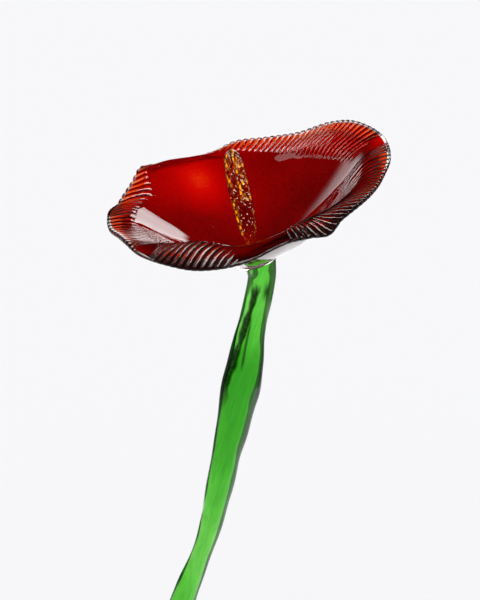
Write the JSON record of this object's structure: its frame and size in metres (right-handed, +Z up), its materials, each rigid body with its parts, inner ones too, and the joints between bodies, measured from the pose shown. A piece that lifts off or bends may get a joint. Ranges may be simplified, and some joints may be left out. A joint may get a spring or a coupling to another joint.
{
  "type": "glass poppy in vase",
  "caption": "Hand-made glass poppy: a ribbed, rolled red dish bloom with a net-patterned amber pistil on a curving solid green stem, leaning in a plain clear glass cylinder vase.",
  "frame": {"origin": "centre of the vase's flat foot", "axes": "+Z up along the vase, +X the side the flower leans out to, -Y the side the bloom opens toward"},
  "size_m": [0.1706, 0.1206, 0.4305],
  "materials": {
    "red_glass": "polished cased glass, red under clear",
    "amber_glass": "net-textured glass",
    "green_glass": "fire-polished solid glass",
    "clear_glass": "polished"
  },
  "bodies": {
    "root": {"bloom": "red_glass", "pistil": "amber_glass", "stem": "green_glass", "vase": "clear_glass"}
  },
  "joints": []
}
